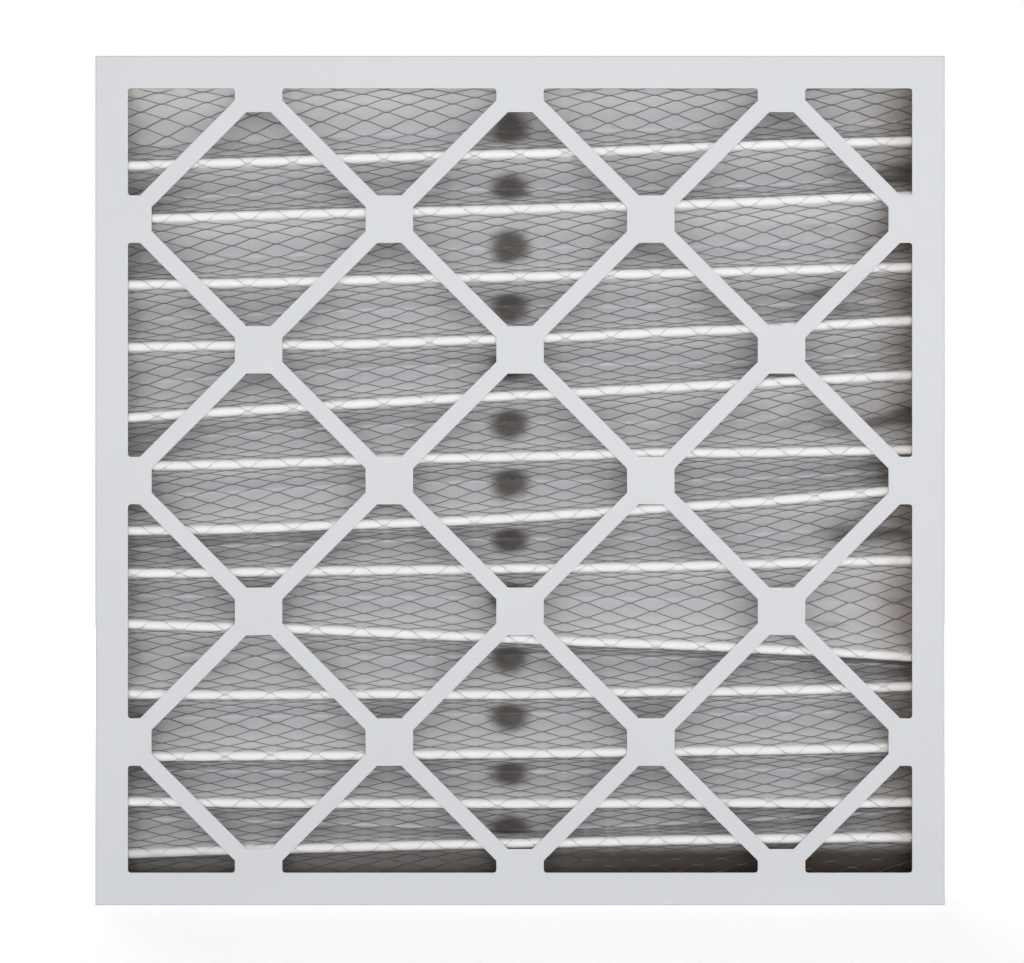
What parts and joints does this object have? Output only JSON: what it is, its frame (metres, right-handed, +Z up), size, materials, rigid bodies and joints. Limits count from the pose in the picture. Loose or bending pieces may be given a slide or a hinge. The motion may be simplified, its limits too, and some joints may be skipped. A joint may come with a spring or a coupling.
{
  "type": "pleated panel air filter",
  "caption": "Square panel air filter: a pleated sheet of white media backed by expanded metal, held in a folded board frame with diagonal supports across both faces",
  "frame": {"origin": "the middle of the bottom edge, where the filter stands", "axes": "+X to the right along the pleats, +Y through the depth from the wired air-leaving face to the air-entering face, +Z up"},
  "size_m": [0.4952, 0.0444, 0.4953],
  "materials": {
    "board": "white clay-coated beverage board outside, plain brown kraft inside and at the cut edges",
    "media": "soft matt non-woven of fine white fibres that lets some light through",
    "grid": "thin dull galvanised expanded metal",
    "glue": "translucent pale amber hot-melt glue, satin"
  },
  "bodies": {
    "root": {"front_shell": "board", "rear_shell": "board", "rear_strap": "board", "filter_media": "media", "wire_grid": "grid", "left_seal": "glue", "right_seal": "glue", "top_seal": "glue", "bottom_seal": "glue", "strap_glue": "glue"}
  },
  "joints": []
}
